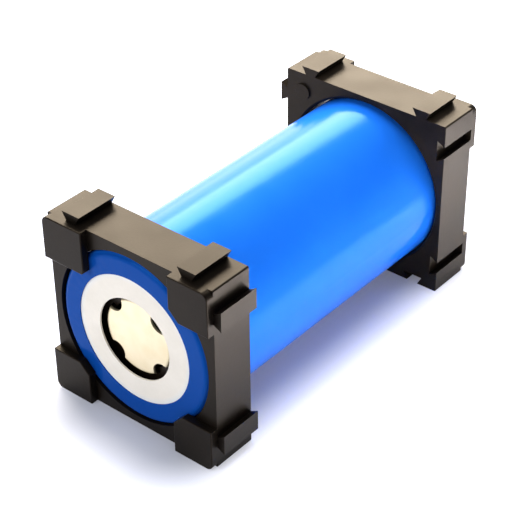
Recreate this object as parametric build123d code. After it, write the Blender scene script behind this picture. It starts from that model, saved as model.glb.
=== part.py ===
"""A round lithium cell held by a pair of end brackets.

Two identical square brackets push onto the ends of a wrapped 32 mm cell. Each bracket is one moulding: a square
frame with a round bore, four corner tabs that stop the cell, dovetail rails on two sides and dovetail grooves on
the other two, so that brackets slide together side by side. The rear bracket is the front one turned half round.

Millimetres. +Z is up, +Y runs along the cell from its positive to its negative end, and the origin is on the
surface that the pair stands on, midway between the brackets and under the cell's axis.
"""

import os

from build123d import *

# Cell, from the outside of its sleeve
CELL_DIAMETER = 32.0
CELL_LENGTH = 70.8
SLEEVE_WALL = 0.2
SLEEVE_SHOULDER_RADIUS = 1.0  # the wrap turns over the rim of the can
CAN_SHOULDER = 0.6  # chamfer of the rim under the wrap
FRONT_OPENING_RADIUS = 12.1  # hole that the shrunk sleeve leaves over the positive end
REAR_OPENING_RADIUS = 12.9

# Bracket
SIDE = 35.5
FRAME_DEPTH = 8.5
BORE_DIAMETER = 32.6
BORE_LEAD_IN = 0.5
CORNER_EDGE_RADIUS = 0.3
SOFT_EDGE = 0.2  # the slight round that moulded edges have
END_GAP = 0.1  # between the cell's end and the tabs
CELL_DROP = 0.2  # the cell rests on the lower side of the bores

# Corner tabs that keep the cell from passing through
TAB_WIDTH = 8.2
TAB_THICKNESS = 1.5
TAB_OUTER_RADIUS = 1.3
TAB_INNER_CHAMFER = 2.0
KEY_TAB_EXTRA = 0.6  # the tab over a rail and a groove is wider, with a square corner, as the mark for assembly

# Dovetails: two rails on each of two sides, two grooves on each of the other two
DOVETAIL_OFFSET = 12.4  # from the bracket's middle to each rail or groove
RAIL_TOP_WIDTH = 3.8
RAIL_BASE_WIDTH = 2.1
RAIL_HEIGHT = 1.5
GROOVE_CLEARANCE = 0.1  # on each flank and at the bottom

# Round pad on the inner face, in the corner between the two sides with rails
PAD_OFFSET = 14.0
PAD_RADIUS = 1.6
PAD_HEIGHT = 0.4

# Positive end, as depths below the sleeve's front face
RING_THICKNESS = 0.3
RING_BORE_RADIUS = 7.7
RING_OUTER_RADIUS = 14.7
CRIMP_BORE_RADIUS = 12.3
CRIMP_THICKNESS = 0.7
CHAMBER_RADIUS = 15.0
GASKET_WALL = 0.8
GASKET_TOP_LIP = 1.0
GASKET_BOTTOM_LIP = 0.5
GASKET_LIP_RADIUS = 11.6
CAP_TOP_DEPTH = 1.0
CAP_TOP_RADIUS = 6.9
CAP_SHEET = 0.6
CAP_EDGE_RADIUS = 0.5
VENT_COUNT = 4
VENT_RADIUS = 2.0
VENT_CENTRE_RADIUS = 7.3
VENT_DISC_THICKNESS = 0.4
DISC_DOME_RADIUS = 5.0
DISC_DOME_HEIGHT = 0.5
DISC_SCORE_RADIUS = 8.5
DISC_SCORE_WIDTH = 0.5
DISC_SCORE_DEPTH = 0.15

# Can: one sealed solid with a rolled bead under the crimp
BEAD_DEPTH = 1.3
BEAD_HALF_WIDTH = 1.0
BEAD_BELOW_CHAMBER = 1.8
CAN_BOTTOM_RADIUS = 0.9
CAN_BOTTOM_STEP_RADIUS = 10.5
CAN_BOTTOM_STEP_DEPTH = 0.2

CELL_RADIUS = CELL_DIAMETER / 2
CAN_RADIUS = CELL_RADIUS - SLEEVE_WALL
HALF_SIDE = SIDE / 2
AXIS_HEIGHT = HALF_SIDE - CELL_DROP
FRAME_FACE = CELL_LENGTH / 2 + END_GAP  # distance from the middle to a frame's outer face

# The depth of each layer at the positive end, worked out from the outside in
RING_TOP = SLEEVE_WALL
CRIMP_TOP = RING_TOP + RING_THICKNESS
CRIMP_UNDERSIDE = CRIMP_TOP + CRIMP_THICKNESS
FLANGE_TOP = CRIMP_UNDERSIDE + GASKET_TOP_LIP
FLANGE_UNDERSIDE = FLANGE_TOP + CAP_SHEET
DISC_UNDERSIDE = FLANGE_UNDERSIDE + VENT_DISC_THICKNESS
CHAMBER_FLOOR = DISC_UNDERSIDE + GASKET_BOTTOM_LIP
FLANGE_RADIUS = CHAMBER_RADIUS - GASKET_WALL
CAN_LENGTH = CELL_LENGTH - SLEEVE_WALL


def dovetail(base_width, top_width, height):
    """Trapezium that widens away from its base on y = 0."""
    return make_face(
        Polyline(
            (-base_width / 2, 0),
            (base_width / 2, 0),
            (top_width / 2, height),
            (-top_width / 2, height),
            close=True,
        )
    )


def rail_profiles():
    """The rails of the +x and +y sides, in the bracket's own plane."""
    root = 0.3  # how far the profile runs into the wall, so that the two fuse
    widening = (RAIL_TOP_WIDTH - RAIL_BASE_WIDTH) / RAIL_HEIGHT
    profile = dovetail(RAIL_BASE_WIDTH - widening * root, RAIL_TOP_WIDTH, RAIL_HEIGHT + root)
    for turn in (0, -90):
        for offset in (-DOVETAIL_OFFSET, DOVETAIL_OFFSET):
            yield Rot(0, 0, turn) * Pos(offset, HALF_SIDE - root) * profile


def groove_profiles():
    """The grooves of the -x and -y sides, a clearance wider and deeper than the rails."""
    over = 1.0  # how far the cut starts outside the wall
    widening = (RAIL_TOP_WIDTH - RAIL_BASE_WIDTH) / RAIL_HEIGHT
    mouth = RAIL_BASE_WIDTH + 2 * GROOVE_CLEARANCE
    depth = RAIL_HEIGHT + GROOVE_CLEARANCE
    profile = dovetail(mouth - widening * over, mouth + widening * depth, depth + over)
    for turn in (0, -90):
        for offset in (-DOVETAIL_OFFSET, DOVETAIL_OFFSET):
            yield Rot(0, 0, turn) * Pos(offset, -HALF_SIDE - over) * profile


def tab(width, inner_chamfer):
    """The tab of the +x, +y corner: a block with a round outer corner, soft front edges and a chamfered inner corner."""
    blank = extrude(Rectangle(width, TAB_WIDTH, align=(Align.MAX, Align.MAX)), TAB_THICKNESS)
    upright = blank.edges().filter_by(Axis.Z).sort_by(lambda e: e.center().X + e.center().Y)
    blank = fillet(upright[-1], TAB_OUTER_RADIUS)
    upright = blank.edges().filter_by(Axis.Z).sort_by(lambda e: e.center().X + e.center().Y)
    blank = chamfer(upright[0], inner_chamfer)
    blank = fillet(blank.faces().sort_by(Axis.Z)[-1].edges(), SOFT_EDGE)
    return Pos(HALF_SIDE, HALF_SIDE, FRAME_DEPTH) * blank


def bracket():
    """One bracket in its own frame: inner face on z = 0, tabs towards +z, rails on +x and +y."""
    frame = extrude(RectangleRounded(SIDE, SIDE, CORNER_EDGE_RADIUS), FRAME_DEPTH)
    for profile in rail_profiles():
        frame += extrude(profile, FRAME_DEPTH)
    for profile in groove_profiles():
        frame -= extrude(profile, FRAME_DEPTH)
    frame -= extrude(Circle(BORE_DIAMETER / 2), FRAME_DEPTH)
    lead_in = Cone(
        BORE_DIAMETER / 2 + BORE_LEAD_IN,
        BORE_DIAMETER / 2,
        BORE_LEAD_IN,
        align=(Align.CENTER, Align.CENTER, Align.MIN),
    )
    frame -= lead_in
    plain_tab = tab(TAB_WIDTH, TAB_INNER_CHAMFER)
    for quarter in (0, 2, 3):
        frame += Rot(0, 0, 90 * quarter) * plain_tab
    frame += mirror(tab(TAB_WIDTH + KEY_TAB_EXTRA, 2 * SOFT_EDGE), about=Plane.YZ)
    pad = Cylinder(PAD_RADIUS, PAD_HEIGHT, align=(Align.CENTER, Align.CENTER, Align.MAX))
    return frame + Pos(PAD_OFFSET, PAD_OFFSET, 0) * pad


def front_bracket():
    """Tabs face -Y, rails are on the top and on +X."""
    return Pos(0, -FRAME_FACE + FRAME_DEPTH, HALF_SIDE) * Rot(90, 0, 0) * bracket()


def rear_bracket():
    """The same moulding turned half round about the vertical, so its rails are on the top and on -X."""
    return Rot(0, 0, 180) * front_bracket()


def turned(outline):
    """Solid of revolution about the cell's axis, from an outline of (radius, depth) points."""
    return Pos(0, -CELL_LENGTH / 2, AXIS_HEIGHT) * revolve(make_face(outline), Axis.Y, 360)


def shrink_sleeve():
    """PVC wrap: a thin tube whose two ends are shrunk over the rims of the can."""
    section = make_face(
        Polyline(
            (FRONT_OPENING_RADIUS, 0),
            (CELL_RADIUS, 0),
            (CELL_RADIUS, CELL_LENGTH),
            (REAR_OPENING_RADIUS, CELL_LENGTH),
            (REAR_OPENING_RADIUS, CELL_LENGTH - SLEEVE_WALL),
            (CAN_RADIUS, CELL_LENGTH - SLEEVE_WALL),
            (CAN_RADIUS, SLEEVE_WALL),
            (FRONT_OPENING_RADIUS, SLEEVE_WALL),
            close=True,
        )
    )
    outer = [v for v in section.vertices() if abs(v.X - CELL_RADIUS) < 1e-6]
    section = fillet(outer, SLEEVE_SHOULDER_RADIUS)
    inner = [v for v in section.vertices() if abs(v.X - CAN_RADIUS) < 1e-6]
    section = chamfer(inner, CAN_SHOULDER)
    return Pos(0, -CELL_LENGTH / 2, AXIS_HEIGHT) * revolve(section, Axis.Y, 360)


def insulator_ring():
    """Flat white washer that covers the crimp, its rim held under the sleeve."""
    return turned(
        Polyline(
            (RING_BORE_RADIUS, RING_TOP),
            (RING_OUTER_RADIUS, RING_TOP),
            (RING_OUTER_RADIUS, CRIMP_TOP),
            (RING_BORE_RADIUS, CRIMP_TOP),
            close=True,
        )
    )


def positive_cap():
    """Pressed steel cap: a flange held in the gasket and a raised top with vents round its edge."""
    section = make_face(
        Polyline(
            (0, CAP_TOP_DEPTH),
            (CAP_TOP_RADIUS, CAP_TOP_DEPTH),
            (CAP_TOP_RADIUS + CAP_SHEET / 2, FLANGE_TOP),
            (FLANGE_RADIUS, FLANGE_TOP),
            (FLANGE_RADIUS, FLANGE_UNDERSIDE),
            (CAP_TOP_RADIUS - CAP_SHEET, FLANGE_UNDERSIDE),
            (CAP_TOP_RADIUS - CAP_SHEET, CAP_TOP_DEPTH + CAP_SHEET),
            (0, CAP_TOP_DEPTH + CAP_SHEET),
            close=True,
        )
    )
    rim = [v for v in section.vertices() if abs(v.X - CAP_TOP_RADIUS) < 1e-6]
    section = fillet(rim, CAP_EDGE_RADIUS)
    cap = revolve(section, Axis.Y, 360)
    vent = Pos(VENT_CENTRE_RADIUS, FLANGE_TOP / 2, 0) * Rot(90, 0, 0) * Cylinder(VENT_RADIUS, FLANGE_TOP)
    for index in range(VENT_COUNT):
        cap -= Rot(0, 45 + 360 / VENT_COUNT * index, 0) * vent
    return Pos(0, -CELL_LENGTH / 2, AXIS_HEIGHT) * cap


def cap_gasket():
    """Polypropylene seal, a channel that the crimp squeezes round the cap's flange and the vent disc."""
    return turned(
        Polyline(
            (GASKET_LIP_RADIUS, CRIMP_UNDERSIDE),
            (CHAMBER_RADIUS, CRIMP_UNDERSIDE),
            (CHAMBER_RADIUS, CHAMBER_FLOOR),
            (GASKET_LIP_RADIUS, CHAMBER_FLOOR),
            (GASKET_LIP_RADIUS, DISC_UNDERSIDE),
            (FLANGE_RADIUS, DISC_UNDERSIDE),
            (FLANGE_RADIUS, FLANGE_TOP),
            (GASKET_LIP_RADIUS, FLANGE_TOP),
            close=True,
        )
    )


def vent_disc():
    """Aluminium burst disc under the cap, with a dome and a scored ring."""
    disc = turned(
        Polyline(
            (0, FLANGE_UNDERSIDE),
            (DISC_SCORE_RADIUS, FLANGE_UNDERSIDE),
            (DISC_SCORE_RADIUS, FLANGE_UNDERSIDE + DISC_SCORE_DEPTH),
            (DISC_SCORE_RADIUS + DISC_SCORE_WIDTH, FLANGE_UNDERSIDE + DISC_SCORE_DEPTH),
            (DISC_SCORE_RADIUS + DISC_SCORE_WIDTH, FLANGE_UNDERSIDE),
            (FLANGE_RADIUS, FLANGE_UNDERSIDE),
            (FLANGE_RADIUS, DISC_UNDERSIDE),
            (0, DISC_UNDERSIDE),
            close=True,
        )
    )
    # A cap of the sphere that passes through the dome's rim and its top
    sphere_radius = (DISC_DOME_RADIUS**2 + DISC_DOME_HEIGHT**2) / (2 * DISC_DOME_HEIGHT)
    face = -CELL_LENGTH / 2 + FLANGE_UNDERSIDE
    centre = Pos(0, face - DISC_DOME_HEIGHT + sphere_radius, AXIS_HEIGHT)
    slab = Pos(0, face - DISC_DOME_HEIGHT / 2, AXIS_HEIGHT) * Box(
        3 * DISC_DOME_RADIUS, DISC_DOME_HEIGHT, 3 * DISC_DOME_RADIUS
    )
    return disc + (centre * Sphere(sphere_radius) & slab)


def cell_can():
    """Nickel-plated can, sealed with all that it holds: one solid, with a socket for the cap and a rolled bead."""
    bead_middle = CHAMBER_FLOOR + BEAD_BELOW_CHAMBER
    body = turned(
        Polyline(
            (0, CHAMBER_FLOOR),
            (CHAMBER_RADIUS, CHAMBER_FLOOR),
            (CHAMBER_RADIUS, CRIMP_UNDERSIDE),
            (CRIMP_BORE_RADIUS, CRIMP_UNDERSIDE),
            (CRIMP_BORE_RADIUS, CRIMP_TOP),
            (CAN_RADIUS, CRIMP_TOP),
            (CAN_RADIUS, CAN_LENGTH),
            (CAN_BOTTOM_STEP_RADIUS, CAN_LENGTH),
            (CAN_BOTTOM_STEP_RADIUS, CAN_LENGTH - CAN_BOTTOM_STEP_DEPTH),
            (0, CAN_LENGTH - CAN_BOTTOM_STEP_DEPTH),
            close=True,
        )
    )
    shoulders = body.edges().filter_by(GeomType.CIRCLE).group_by(SortBy.RADIUS)[-1]
    body = chamfer(shoulders, CAN_SHOULDER)
    bead = turned(
        Polyline(
            (CAN_RADIUS, bead_middle - BEAD_HALF_WIDTH),
            (CAN_RADIUS - BEAD_DEPTH, bead_middle - BEAD_HALF_WIDTH / 2),
            (CAN_RADIUS - BEAD_DEPTH, bead_middle + BEAD_HALF_WIDTH / 2),
            (CAN_RADIUS, bead_middle + BEAD_HALF_WIDTH),
            close=True,
        )
    )
    return body - bead


PIECES = {
    "front_bracket": front_bracket,
    "rear_bracket": rear_bracket,
    "shrink_sleeve": shrink_sleeve,
    "insulator_ring": insulator_ring,
    "positive_cap": positive_cap,
    "cap_gasket": cap_gasket,
    "vent_disc": vent_disc,
    "cell_can": cell_can,
}

os.makedirs("parts", exist_ok=True)
for name, make in PIECES.items():
    export_step(make(), f"parts/{name}.step")
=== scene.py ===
import math

import bpy
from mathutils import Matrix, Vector


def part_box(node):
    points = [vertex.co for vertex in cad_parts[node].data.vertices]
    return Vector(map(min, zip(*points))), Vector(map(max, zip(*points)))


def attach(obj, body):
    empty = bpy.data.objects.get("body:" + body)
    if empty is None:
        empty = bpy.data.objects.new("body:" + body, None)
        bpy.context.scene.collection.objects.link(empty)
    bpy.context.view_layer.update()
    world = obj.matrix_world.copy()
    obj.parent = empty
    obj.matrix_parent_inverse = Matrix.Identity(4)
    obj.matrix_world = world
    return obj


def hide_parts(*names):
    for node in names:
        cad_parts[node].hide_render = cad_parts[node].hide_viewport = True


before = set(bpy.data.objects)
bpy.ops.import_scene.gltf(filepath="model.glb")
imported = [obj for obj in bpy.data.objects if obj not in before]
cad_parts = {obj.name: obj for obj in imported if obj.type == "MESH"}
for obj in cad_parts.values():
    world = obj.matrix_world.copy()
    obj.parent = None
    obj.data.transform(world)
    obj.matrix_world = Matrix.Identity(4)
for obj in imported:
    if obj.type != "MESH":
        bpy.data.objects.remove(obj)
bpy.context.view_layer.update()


# Camera and room ----------------------------------------------------------------------------------
# The cell in its brackets lies on a white table top, as small goods are shown in a shop. A window stands
# behind its left shoulder, and softer panels light its front, top and right side. The lens is a short
# telephoto held close, a hand's length above the table.
MM = 0.001
LENS = 112.1
SENSOR = 36.0
NEAREST_SEEN = 10 * MM
CAMERA_PLACE = (150.0 * MM, -183.3 * MM, 179.9 * MM)
CAMERA_AZIMUTH = math.radians(39.71)
CAMERA_ELEVATION = math.radians(35.01)
CAMERA_ROLL = math.radians(-0.54)

camera = bpy.data.cameras.new("camera")
camera.lens = LENS
camera.sensor_width = SENSOR
camera.clip_start = NEAREST_SEEN
camera_object = bpy.data.objects.new("camera", camera)
camera_object.location = CAMERA_PLACE
camera_object.rotation_mode = "XYZ"
camera_object.rotation_euler = (math.pi / 2 - CAMERA_ELEVATION, 0, CAMERA_AZIMUTH)
camera_object.rotation_euler.rotate_axis("Z", CAMERA_ROLL)
bpy.context.scene.collection.objects.link(camera_object)
bpy.context.scene.camera = camera_object
bpy.context.scene.view_settings.view_transform = "Standard"


def colour(sheet_hex):
    """Turns an sRGB hex value to the linear colour that a socket takes."""
    channels = [int(sheet_hex[i : i + 2], 16) / 255 for i in (0, 2, 4)]
    linear = [c / 12.92 if c <= 0.04045 else ((c + 0.055) / 1.055) ** 2.4 for c in channels]
    return (*linear, 1.0)


def add_node(tree, kind, settings=None, **links):
    """Adds one shader node, with its properties as settings, and a value or an output for each socket.

    A socket goes by its name, with _ for a space, or by its number, such as i0, where names repeat.
    """
    node = tree.nodes.new(kind)
    for name, value in (settings or {}).items():
        setattr(node, name, value)
    for name, value in links.items():
        key = int(name[1:]) if name[0] == "i" and name[1:].isdigit() else name.replace("_", " ")
        if isinstance(value, bpy.types.NodeSocket):
            tree.links.new(value, node.inputs[key])
        else:
            node.inputs[key].default_value = value
    return node


def new_material(name):
    """An empty material, and the tree that its nodes go in."""
    material = bpy.data.materials.new(name)
    material.use_nodes = True
    material.node_tree.nodes.clear()
    return material, material.node_tree


def panel_lamp(name, place, target, size, radiance, tint):
    """A rectangular soft panel, given by its brightness, where 1 is white."""
    width, height = size
    light = bpy.data.lights.new(name, "AREA")
    light.shape = "RECTANGLE"
    light.size = width
    light.size_y = height
    light.energy = math.pi * width * height * radiance
    light.color = colour(tint)[:3]
    lamp_object = bpy.data.objects.new(name, light)
    lamp_object.location = place
    lamp_object.rotation_euler = (Vector(target) - Vector(place)).to_track_quat("-Z", "Y").to_euler()
    bpy.context.scene.collection.objects.link(lamp_object)


# The window reaches down to the table. Its bright upper part, the sky, has the top edge that draws the long
# line on the sleeve, and the garden below the skyline is dimmer.
WINDOW_DISTANCE = 0.70
WINDOW_AZIMUTH = math.radians(51)
WINDOW_TOP_ANGLE = math.radians(43)
WINDOW_TOP = WINDOW_DISTANCE * math.tan(WINDOW_TOP_ANGLE)
WINDOW_WIDTH = 0.90
SKYLINE = 0.27
SKY_RADIANCE = 19.0
GARDEN_RADIANCE = 5.0
DAYLIGHT = "FFF0D8"

window_x = -WINDOW_DISTANCE * math.sin(WINDOW_AZIMUTH)
window_y = WINDOW_DISTANCE * math.cos(WINDOW_AZIMUTH)
for part, low, high, radiance in (
    ("window_sky", SKYLINE, WINDOW_TOP, SKY_RADIANCE),
    ("window_garden", 0.0, SKYLINE, GARDEN_RADIANCE),
):
    middle = (low + high) / 2
    size = (WINDOW_WIDTH, high - low)
    panel_lamp(part, (window_x, window_y, middle), (0, 0, middle), size, radiance, DAYLIGHT)

# A low panel behind the right shoulder, one in front and one overhead keep the other sides from black.
OBJECT_MIDDLE = (0, 0, 17.5 * MM)
REAR_BRACKET_SIDE = (0, 30 * MM, 20 * MM)
panel_lamp(
    "low_strip",
    place=(0.30, 0.26, 0.06),
    target=REAR_BRACKET_SIDE,
    size=(0.50, 0.12),
    radiance=1.5,
    tint="FFF8EC",
)
panel_lamp(
    "front_fill",
    place=(-0.25, -0.80, 0.45),
    target=OBJECT_MIDDLE,
    size=(0.50, 0.50),
    radiance=5.5,
    tint="FFFFFF",
)
panel_lamp(
    "ceiling",
    place=(0.10, 0.20, 1.00),
    target=OBJECT_MIDDLE,
    size=(0.60, 0.60),
    radiance=5.0,
    tint="FFFFFF",
)

# A narrow strip light hangs over the table beside the brackets, points straight down and misses them. The
# bright table under it is what their right sides and the low line on the sleeve reflect.
STRIP_PLACE = (66 * MM, 26 * MM, 200 * MM)
STRIP_WIDTH = 30 * MM
STRIP_LENGTH = 120 * MM
STRIP_SPREAD = math.radians(22)
STRIP_POWER = 0.38
STRIP_TINT = "FFEFD8"

strip = bpy.data.lights.new("table_strip", "AREA")
strip.shape = "RECTANGLE"
strip.size = STRIP_WIDTH
strip.size_y = STRIP_LENGTH
strip.spread = STRIP_SPREAD
strip.energy = STRIP_POWER
strip.color = colour(STRIP_TINT)[:3]
strip_object = bpy.data.objects.new("table_strip", strip)
strip_object.location = STRIP_PLACE
bpy.context.scene.collection.objects.link(strip_object)


def is_any(tree, *rays):
    """1 for a ray of one of these kinds, and 0 for any other."""
    path = add_node(tree, "ShaderNodeLightPath")
    found = path.outputs[rays[0]]
    for ray in rays[1:]:
        either = add_node(tree, "ShaderNodeMath", {"operation": "MAXIMUM"}, i0=found, i1=path.outputs[ray])
        found = either.outputs[0]
    return found


# The room gives a dim, slightly blue light from all round, and is plain white to the camera.
ROOM_TINT = "EEF0F8"
ROOM_STRENGTH = 0.35
PLAIN_WHITE = "FFFFFF"

world = bpy.data.worlds.new("room")
bpy.context.scene.world = world
world.use_nodes = True
room = world.node_tree
room.nodes.clear()
seen = is_any(room, "Is Camera Ray", "Is Transmission Ray")
backdrop = add_node(room, "ShaderNodeBackground", Color=colour(PLAIN_WHITE), Strength=1.0)
ambient = add_node(room, "ShaderNodeBackground", Color=colour(ROOM_TINT), Strength=ROOM_STRENGTH)
mixed = add_node(room, "ShaderNodeMixShader", i0=seen, i1=ambient.outputs[0], i2=backdrop.outputs[0])
add_node(room, "ShaderNodeOutputWorld", Surface=mixed.outputs[0])

# The table top is a matt pale board that keeps the shadow. A glow that only the camera and reflections see
# is weak along a strip of table under the object, and rises outwards to about the room's white.
TABLE_SIZE = 3.0
TABLE_DROP = 0.02 * MM  # keeps the board from lying in one plane with the brackets' undersides
DIM_HALF_SIZE = (7 * MM, 36 * MM, 0)
GLOW_RISES_FROM = 3 * MM
GLOW_FULL_AT = 20 * MM
GLOW_NEAR = 0.13
GLOW_FAR = 1.0
BOARD_TONE = "B9BECD"
GLOW_TONE = "F8F8FF"


def table_board():
    """A matt board whose glow depends on how far a point is beyond the strip under the object."""
    material, tree = new_material("table_white")
    seen = is_any(tree, "Is Camera Ray", "Is Transmission Ray", "Is Glossy Ray")
    place = add_node(tree, "ShaderNodeTexCoord").outputs["Object"]
    offset = add_node(tree, "ShaderNodeVectorMath", {"operation": "ABSOLUTE"}, i0=place)
    beyond = add_node(
        tree, "ShaderNodeVectorMath", {"operation": "SUBTRACT"}, i0=offset.outputs[0], i1=DIM_HALF_SIZE
    )
    outside = add_node(
        tree, "ShaderNodeVectorMath", {"operation": "MAXIMUM"}, i0=beyond.outputs[0], i1=(0, 0, 0)
    )
    reach = add_node(tree, "ShaderNodeVectorMath", {"operation": "LENGTH"}, i0=outside.outputs[0])
    rise = add_node(
        tree,
        "ShaderNodeMapRange",
        {"interpolation_type": "SMOOTHSTEP"},
        Value=reach.outputs["Value"],
        From_Min=GLOW_RISES_FROM,
        From_Max=GLOW_FULL_AT,
        To_Min=GLOW_NEAR,
        To_Max=GLOW_FAR,
    )
    lift = add_node(tree, "ShaderNodeMath", {"operation": "MULTIPLY"}, i0=seen, i1=rise.outputs["Result"])
    board = add_node(tree, "ShaderNodeBsdfDiffuse", Color=colour(BOARD_TONE))
    glow = add_node(tree, "ShaderNodeEmission", Color=colour(GLOW_TONE), Strength=lift.outputs[0])
    both = add_node(tree, "ShaderNodeAddShader", i0=board.outputs[0], i1=glow.outputs[0])
    add_node(tree, "ShaderNodeOutputMaterial", Surface=both.outputs[0])
    return material


bpy.ops.object.select_all(action="DESELECT")
bpy.ops.mesh.primitive_plane_add(size=TABLE_SIZE, location=(0, 0, -TABLE_DROP))
table = bpy.context.object
table.name = "table_top"
table.data.materials.append(table_board())


# Brackets -----------------------------------------------------------------------------------------
# Two identical mouldings of black ABS, which push on to the ends of the cell. The tool's spark-eroded sides
# leave a fine satin texture, with paler marks where the plastic flowed, and its parting edges are slightly
# round, so they catch the light as thin lines. The front bracket's black is painted darker for its shade,
# and the rear one's is painted lighter for its light.
# Painted light and shade: the same plastic, darker on the front bracket and lighter on the rear one.
FRONT_BLACK_PAINTED_SHADE = "0D0A08"
FRONT_FLOW_PAINTED_SHADE = "17130F"
REAR_BLACK_PAINTED_LIGHT = "1C1813"
REAR_FLOW_PAINTED_LIGHT = "26201A"
EDGE_ROUND = 0.16 * MM
EDGE_SEGMENTS = 2
ROUNDED_OVER = math.radians(35)
SMOOTH_UNDER = math.radians(30)
FLAT_WITHIN = math.radians(0.5)
MERGED_WITHIN = 0.002 * MM
FLAT_FACE_WEIGHT = 100
SATIN_GRAIN = 0.5 * MM  # the real texture is about 0.05 mm, drawn coarser so that it shows
SATIN_HEIGHT = 0.03 * MM
FLOW_MARKS = 7 * MM
NOISE_SPAN = {"From_Min": 0.35, "From_Max": 0.65}  # most of a noise's values lie between these


def abs_plastic(name, tone, flow_tone):
    """Satin black plastic, with faint paler marks where it flowed into the tool."""
    material, tree = new_material(name)
    place = add_node(tree, "ShaderNodeTexCoord").outputs["Object"]
    grain = add_node(tree, "ShaderNodeTexNoise", Vector=place, Scale=1 / SATIN_GRAIN, Detail=3.0)
    marks = add_node(tree, "ShaderNodeTexNoise", Vector=place, Scale=1 / FLOW_MARKS, Detail=4.0)
    rough = add_node(
        tree, "ShaderNodeMapRange", Value=marks.outputs["Fac"], **NOISE_SPAN, To_Min=0.33, To_Max=0.40
    )
    flow = add_node(tree, "ShaderNodeMapRange", Value=marks.outputs["Fac"], **NOISE_SPAN)
    shade = add_node(
        tree,
        "ShaderNodeMix",
        {"data_type": "RGBA"},
        i0=flow.outputs["Result"],
        i6=colour(tone),
        i7=colour(flow_tone),
    )
    bump = add_node(
        tree, "ShaderNodeBump", Height=grain.outputs["Fac"], Strength=0.3, Distance=SATIN_HEIGHT
    )
    shader = add_node(
        tree,
        "ShaderNodeBsdfPrincipled",
        Base_Color=shade.outputs[2],
        Roughness=rough.outputs["Result"],
        IOR=1.54,
        Specular_IOR_Level=0.10,
        Specular_Tint=colour("FFE6C8"),
        Normal=bump.outputs["Normal"],
    )
    add_node(tree, "ShaderNodeOutputMaterial", Surface=shader.outputs[0])
    return material


def moulding(node, body, material):
    """The bracket's solid with its sharp edges rounded and its flat faces kept flat."""
    bpy.ops.object.select_all(action="DESELECT")
    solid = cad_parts[node]
    piece = bpy.data.objects.new(node + "_moulding", solid.data.copy())
    bpy.context.scene.collection.objects.link(piece)
    piece.select_set(True)
    bpy.context.view_layer.objects.active = piece
    bpy.ops.object.mode_set(mode="EDIT")
    bpy.ops.mesh.select_all(action="SELECT")
    bpy.ops.mesh.remove_doubles(threshold=MERGED_WITHIN)
    bpy.ops.mesh.dissolve_limited(angle_limit=FLAT_WITHIN)
    bpy.ops.object.mode_set(mode="OBJECT")
    bpy.ops.object.shade_smooth_by_angle(angle=SMOOTH_UNDER)
    rounding = piece.modifiers.new("edge_round", "BEVEL")
    rounding.width = EDGE_ROUND
    rounding.segments = EDGE_SEGMENTS
    rounding.limit_method = "ANGLE"
    rounding.angle_limit = ROUNDED_OVER
    flats = piece.modifiers.new("flat_faces", "WEIGHTED_NORMAL")
    flats.weight = FLAT_FACE_WEIGHT
    flats.keep_sharp = True
    piece.data.materials.clear()
    piece.data.materials.append(material)
    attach(piece, body)
    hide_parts(node)


# The front bracket's copy of the plastic is painted darker as shade, and the rear one's lighter as light.
moulding("front_bracket", "front_holder", abs_plastic("moulded_abs_front_painted_shade", FRONT_BLACK_PAINTED_SHADE, FRONT_FLOW_PAINTED_SHADE))
moulding("rear_bracket", "rear_holder", abs_plastic("moulded_abs_rear_painted_light", REAR_BLACK_PAINTED_LIGHT, REAR_FLOW_PAINTED_LIGHT))


# Sleeve -------------------------------------------------------------------------------------------
# A tube of blue PVC film 0.2 mm thick, shrunk on to the can with hot air. It is glossy, follows the can with
# a faint orange peel, and its folded front end gathers into small radial creases, where the film doubles and
# looks darker.
SLEEVE_BLUE = "1D77FA"
SLEEVE_THIN_BLUE = "207BFC"
FOLD_BLUE = "0A469C"
FOLD_FULL_DEPTH = 0.25 * MM
FOLD_END_DEPTH = 0.9 * MM
CREASES_ROUND = 46
CREASE_WANDER = 14.0  # how far a crease strays from even spacing, where 2 pi is one whole crease
CREASE_WANDER_SIZE = 6 * MM
ORANGE_PEEL = 3 * MM
ORANGE_PEEL_HEIGHT = 0.05 * MM
FILM_PATCHES = 11 * MM
sleeve_low, sleeve_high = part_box("shrink_sleeve")
sleeve_front = sleeve_low[1]
cell_axis = (sleeve_low[2] + sleeve_high[2]) / 2


def dress(node, material):
    """Gives a carried-over solid its material."""
    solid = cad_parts[node]
    solid.data.materials.clear()
    solid.data.materials.append(material)


def from_cell_axis(tree, place):
    """A point's place, with its height measured from the cell's axis."""
    centred = add_node(
        tree, "ShaderNodeVectorMath", {"operation": "SUBTRACT"}, i0=place, i1=(0, 0, cell_axis)
    )
    return centred.outputs[0]


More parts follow.
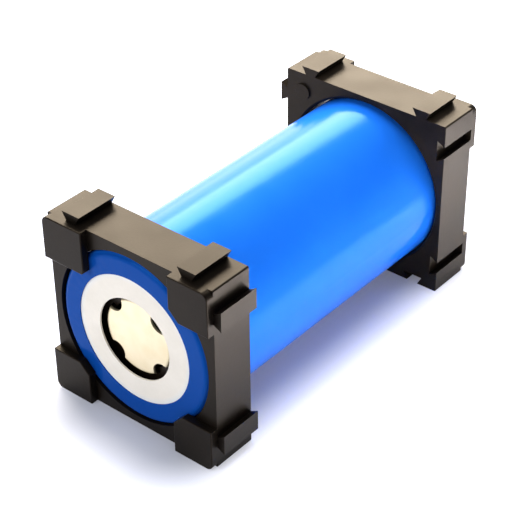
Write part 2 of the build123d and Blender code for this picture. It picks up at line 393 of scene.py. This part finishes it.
def shrink_wrap():
    """Glossy film, creased and doubled where it folds over the can's front end."""
    material, tree = new_material("pvc_shrink_wrap")
    place = add_node(tree, "ShaderNodeTexCoord").outputs["Object"]
    parts = add_node(tree, "ShaderNodeSeparateXYZ", Vector=from_cell_axis(tree, place))
    folded = add_node(
        tree,
        "ShaderNodeMapRange",
        Value=parts.outputs["Y"],
        From_Min=sleeve_front + FOLD_FULL_DEPTH,
        From_Max=sleeve_front + FOLD_END_DEPTH,
        To_Min=1.0,
        To_Max=0.0,
    )
    angle = add_node(
        tree, "ShaderNodeMath", {"operation": "ARCTAN2"}, i0=parts.outputs["Z"], i1=parts.outputs["X"]
    )
    turns = add_node(
        tree, "ShaderNodeMath", {"operation": "MULTIPLY"}, i0=angle.outputs[0], i1=float(CREASES_ROUND)
    )
    wander = add_node(tree, "ShaderNodeTexNoise", Vector=place, Scale=1 / CREASE_WANDER_SIZE, Detail=1.0)
    strayed = add_node(
        tree,
        "ShaderNodeMath",
        {"operation": "MULTIPLY_ADD"},
        i0=wander.outputs["Fac"],
        i1=CREASE_WANDER,
        i2=turns.outputs[0],
    )
    crease = add_node(tree, "ShaderNodeMath", {"operation": "SINE"}, i0=strayed.outputs[0])
    gathered = add_node(
        tree, "ShaderNodeMath", {"operation": "MULTIPLY"}, i0=crease.outputs[0], i1=folded.outputs["Result"]
    )
    peel = add_node(tree, "ShaderNodeTexNoise", Vector=place, Scale=1 / ORANGE_PEEL, Detail=2.0)
    height = add_node(
        tree, "ShaderNodeMath", {"operation": "ADD"}, i0=gathered.outputs[0], i1=peel.outputs["Fac"]
    )
    bump = add_node(
        tree, "ShaderNodeBump", Height=height.outputs[0], Strength=0.14, Distance=ORANGE_PEEL_HEIGHT
    )
    film = add_node(tree, "ShaderNodeTexNoise", Vector=place, Scale=1 / FILM_PATCHES, Detail=2.0)
    thin = add_node(tree, "ShaderNodeMapRange", Value=film.outputs["Fac"], **NOISE_SPAN)
    rough = add_node(
        tree, "ShaderNodeMapRange", Value=film.outputs["Fac"], **NOISE_SPAN, To_Min=0.15, To_Max=0.20
    )
    barrel = add_node(
        tree,
        "ShaderNodeMix",
        {"data_type": "RGBA"},
        i0=thin.outputs["Result"],
        i6=colour(SLEEVE_BLUE),
        i7=colour(SLEEVE_THIN_BLUE),
    )
    blue = add_node(
        tree,
        "ShaderNodeMix",
        {"data_type": "RGBA"},
        i0=folded.outputs["Result"],
        i6=barrel.outputs[2],
        i7=colour(FOLD_BLUE),
    )
    shader = add_node(
        tree,
        "ShaderNodeBsdfPrincipled",
        Base_Color=blue.outputs[2],
        Metallic=0.06,
        Roughness=rough.outputs["Result"],
        IOR=1.53,
        Specular_IOR_Level=0.05,
        Specular_Tint=colour("6CDCFF"),
        Normal=bump.outputs["Normal"],
    )
    add_node(tree, "ShaderNodeOutputMaterial", Surface=shader.outputs[0])
    return material


dress("shrink_sleeve", shrink_wrap())


# Insulating washer --------------------------------------------------------------------------------
# A ring of white vulcanised fibre paper, stamped from sheet and held under the sleeve's fold, which keeps the
# cap clear of the can. It is matt, with short fibres in its face, and its outer edge has painted blue light
# from the sleeve beside it.
PAPER_WHITE = "EFE9DC"
PAPER_PALE = "F6F0E4"
# Painted light: the paper turns bluer towards its outer edge, for the sleeve's blue light falling there.
PAPER_EDGE_PAINTED_BLUE_LIGHT = "E6F0F6"
FIBRE_LENGTH = 0.9 * MM
FIBRE_HEIGHT = 0.04 * MM
PAPER_CLOUDS = 5 * MM
BLUE_LIGHT_STARTS = 11.0 * MM
BLUE_LIGHT_FULL = 12.2 * MM
BLUE_LIGHT_SHARE = 0.5


def axis_distance(tree, place):
    """How far a point is from the cell's axis."""
    centred = from_cell_axis(tree, place)
    across = add_node(tree, "ShaderNodeVectorMath", {"operation": "MULTIPLY"}, i0=centred, i1=(1, 0, 1))
    radius = add_node(tree, "ShaderNodeVectorMath", {"operation": "LENGTH"}, i0=across.outputs[0])
    return radius.outputs["Value"]


def fibre_paper():
    """Matt white paper with its fibres showing."""
    material, tree = new_material("fibre_paper")
    place = add_node(tree, "ShaderNodeTexCoord").outputs["Object"]
    fibres = add_node(
        tree, "ShaderNodeTexNoise", Vector=place, Scale=1 / FIBRE_LENGTH, Detail=6.0, Roughness=0.7
    )
    cloud = add_node(tree, "ShaderNodeTexNoise", Vector=place, Scale=1 / PAPER_CLOUDS, Detail=2.0)
    blend = add_node(
        tree,
        "ShaderNodeMath",
        {"operation": "MULTIPLY_ADD"},
        i0=fibres.outputs["Fac"],
        i1=0.5,
        i2=cloud.outputs["Fac"],
    )
    spread = add_node(tree, "ShaderNodeMapRange", Value=blend.outputs[0], From_Min=0.55, From_Max=0.95)
    face = add_node(
        tree,
        "ShaderNodeMix",
        {"data_type": "RGBA"},
        i0=spread.outputs["Result"],
        i6=colour(PAPER_WHITE),
        i7=colour(PAPER_PALE),
    )
    # Painted light: a blue cast rises towards the outer edge.
    edge = add_node(
        tree,
        "ShaderNodeMapRange",
        Value=axis_distance(tree, place),
        From_Min=BLUE_LIGHT_STARTS,
        From_Max=BLUE_LIGHT_FULL,
        To_Max=BLUE_LIGHT_SHARE,
    )
    tone = add_node(
        tree,
        "ShaderNodeMix",
        {"data_type": "RGBA"},
        i0=edge.outputs["Result"],
        i6=face.outputs[2],
        i7=colour(PAPER_EDGE_PAINTED_BLUE_LIGHT),
    )
    bump = add_node(
        tree, "ShaderNodeBump", Height=fibres.outputs["Fac"], Strength=0.4, Distance=FIBRE_HEIGHT
    )
    shader = add_node(
        tree,
        "ShaderNodeBsdfPrincipled",
        Base_Color=tone.outputs[2],
        Roughness=0.62,
        Normal=bump.outputs["Normal"],
    )
    add_node(tree, "ShaderNodeOutputMaterial", Surface=shader.outputs[0])
    return material


dress("insulator_ring", fibre_paper())


# Positive cap -------------------------------------------------------------------------------------
# A pressed disc of nickel-plated steel with four vent openings at its rim. The plating is satin and slightly
# warm, with fine rolling lines across its top, and shade is painted down the pressed wall under the washer.
NICKEL_WARM = "E9DCBC"
NICKEL_STAIN = "E4D6B2"
# Painted shade: the plating's colour turns near-black down the pressed wall, below the cap's top.
PAINTED_SHADE_UNDER_WASHER = "20150C"
PAINTED_SHADE_STARTS = 0.15 * MM
PAINTED_SHADE_FULL = 0.6 * MM
ROLLING_LINES = 0.35 * MM  # the real lines are finer, drawn coarser so that they show
ROLLING_HEIGHT = 0.01 * MM
ROLLING_STRETCH = (0.06, 1.0, 1.0)
NICKEL_STAINS = 2.5 * MM
cap_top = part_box("positive_cap")[0][1]


def nickel_plate():
    """Satin plating on rolled steel, with shade painted in down the pressed wall."""
    material, tree = new_material("nickel_plate")
    place = add_node(tree, "ShaderNodeTexCoord").outputs["Object"]
    parts = add_node(tree, "ShaderNodeSeparateXYZ", Vector=place)
    # Painted shade: how far below the cap's top a point lies sets how much of the near-black it takes.
    painted_shade_depth = add_node(
        tree,
        "ShaderNodeMapRange",
        Value=parts.outputs["Y"],
        From_Min=cap_top + PAINTED_SHADE_STARTS,
        From_Max=cap_top + PAINTED_SHADE_FULL,
    )
    drawn_out = add_node(tree, "ShaderNodeMapping", Vector=place, Scale=ROLLING_STRETCH)
    lines = add_node(
        tree, "ShaderNodeTexNoise", Vector=drawn_out.outputs["Vector"], Scale=1 / ROLLING_LINES, Detail=2.0
    )
    stain = add_node(tree, "ShaderNodeTexNoise", Vector=place, Scale=1 / NICKEL_STAINS, Detail=3.0)
    rough = add_node(
        tree, "ShaderNodeMapRange", Value=stain.outputs["Fac"], **NOISE_SPAN, To_Min=0.37, To_Max=0.42
    )
    stained = add_node(tree, "ShaderNodeMapRange", Value=stain.outputs["Fac"], **NOISE_SPAN)
    plating = add_node(
        tree,
        "ShaderNodeMix",
        {"data_type": "RGBA"},
        i0=stained.outputs["Result"],
        i6=colour(NICKEL_WARM),
        i7=colour(NICKEL_STAIN),
    )
    tone = add_node(
        tree,
        "ShaderNodeMix",
        {"data_type": "RGBA"},
        i0=painted_shade_depth.outputs["Result"],
        i6=plating.outputs[2],
        i7=colour(PAINTED_SHADE_UNDER_WASHER),
    )
    bump = add_node(
        tree, "ShaderNodeBump", Height=lines.outputs["Fac"], Strength=0.25, Distance=ROLLING_HEIGHT
    )
    shader = add_node(
        tree,
        "ShaderNodeBsdfPrincipled",
        Base_Color=tone.outputs[2],
        Metallic=0.6,
        Roughness=rough.outputs["Result"],
        Normal=bump.outputs["Normal"],
    )
    add_node(tree, "ShaderNodeOutputMaterial", Surface=shader.outputs[0])
    return material


dress("positive_cap", nickel_plate())


# Gasket and vent disc -----------------------------------------------------------------------------
# A moulded polypropylene ring seals the cap into the can, and a thin aluminium disc under the cap bursts if
# the cell overheats. Both lie in the shade of the vent openings, the ring matt and nearly black, the disc
# dull and turned, with that shade painted into its near-black colour.
GASKET_BLACK = "14110F"
GASKET_GREY = "1E1A17"
GASKET_GRAIN = 0.4 * MM
GASKET_GRAIN_HEIGHT = 0.02 * MM
# Painted shade: the aluminium disc's colour is near-black for the shade it lies in under the cap.
DISC_PAINTED_SHADE = "17130F"
DISC_DEEP_PAINTED_SHADE = "100D0A"
DISC_ROUGHNESS = 0.5
TURNING_PITCH = 0.45 * MM
RING_HEIGHT = 0.01 * MM
METAL_STAINS = 4 * MM
ROUGHNESS_DRIFT = 0.03


def polypropylene():
    """Nearly black plastic with a fine matt grain."""
    material, tree = new_material("polypropylene")
    place = add_node(tree, "ShaderNodeTexCoord").outputs["Object"]
    grain = add_node(tree, "ShaderNodeTexNoise", Vector=place, Scale=1 / GASKET_GRAIN, Detail=3.0)
    tone = add_node(
        tree,
        "ShaderNodeMix",
        {"data_type": "RGBA"},
        i0=grain.outputs["Fac"],
        i6=colour(GASKET_BLACK),
        i7=colour(GASKET_GREY),
    )
    bump = add_node(
        tree, "ShaderNodeBump", Height=grain.outputs["Fac"], Strength=0.3, Distance=GASKET_GRAIN_HEIGHT
    )
    shader = add_node(
        tree,
        "ShaderNodeBsdfPrincipled",
        Base_Color=tone.outputs[2],
        Roughness=0.5,
        IOR=1.49,
        Normal=bump.outputs["Normal"],
    )
    add_node(tree, "ShaderNodeOutputMaterial", Surface=shader.outputs[0])
    return material


def ringed_metal(name, tone, stained_tone, roughness, pitch):
    """Metal with rings round the cell's axis, as drawing or turning leaves them."""
    material, tree = new_material(name)
    place = add_node(tree, "ShaderNodeTexCoord").outputs["Object"]
    phase = add_node(
        tree,
        "ShaderNodeMath",
        {"operation": "MULTIPLY"},
        i0=axis_distance(tree, place),
        i1=2 * math.pi / pitch,
    )
    ring = add_node(tree, "ShaderNodeMath", {"operation": "SINE"}, i0=phase.outputs[0])
    stain = add_node(tree, "ShaderNodeTexNoise", Vector=place, Scale=1 / METAL_STAINS, Detail=4.0)
    stained = add_node(tree, "ShaderNodeMapRange", Value=stain.outputs["Fac"], From_Min=0.4, From_Max=0.65)
    shade = add_node(
        tree,
        "ShaderNodeMix",
        {"data_type": "RGBA"},
        i0=stained.outputs["Result"],
        i6=colour(tone),
        i7=colour(stained_tone),
    )
    rough = add_node(
        tree,
        "ShaderNodeMapRange",
        Value=stain.outputs["Fac"],
        From_Min=0.3,
        From_Max=0.7,
        To_Min=roughness - ROUGHNESS_DRIFT,
        To_Max=roughness + ROUGHNESS_DRIFT,
    )
    bump = add_node(tree, "ShaderNodeBump", Height=ring.outputs[0], Strength=0.12, Distance=RING_HEIGHT)
    shader = add_node(
        tree,
        "ShaderNodeBsdfPrincipled",
        Base_Color=shade.outputs[2],
        Metallic=1.0,
        Roughness=rough.outputs["Result"],
        Normal=bump.outputs["Normal"],
    )
    add_node(tree, "ShaderNodeOutputMaterial", Surface=shader.outputs[0])
    return material


dress("cap_gasket", polypropylene())
# The disc takes the near-black painted shade as its colour.
dress(
    "vent_disc",
    ringed_metal("turned_aluminium_painted_shade", DISC_PAINTED_SHADE, DISC_DEEP_PAINTED_SHADE, DISC_ROUGHNESS, TURNING_PITCH),
)


# Cell can -----------------------------------------------------------------------------------------
# A deep-drawn can of nickel-plated steel, closed at the rear, where its flat bottom is the negative terminal.
# The drawing leaves faint rings round its centre, and the plating is grey and clouded.
CAN_GREY = "918D84"
CAN_STAIN = "87837A"
CAN_ROUGHNESS = 0.36
DRAWING_PITCH = 0.8 * MM
dress("cell_can", ringed_metal("drawn_nickel", CAN_GREY, CAN_STAIN, CAN_ROUGHNESS, DRAWING_PITCH))
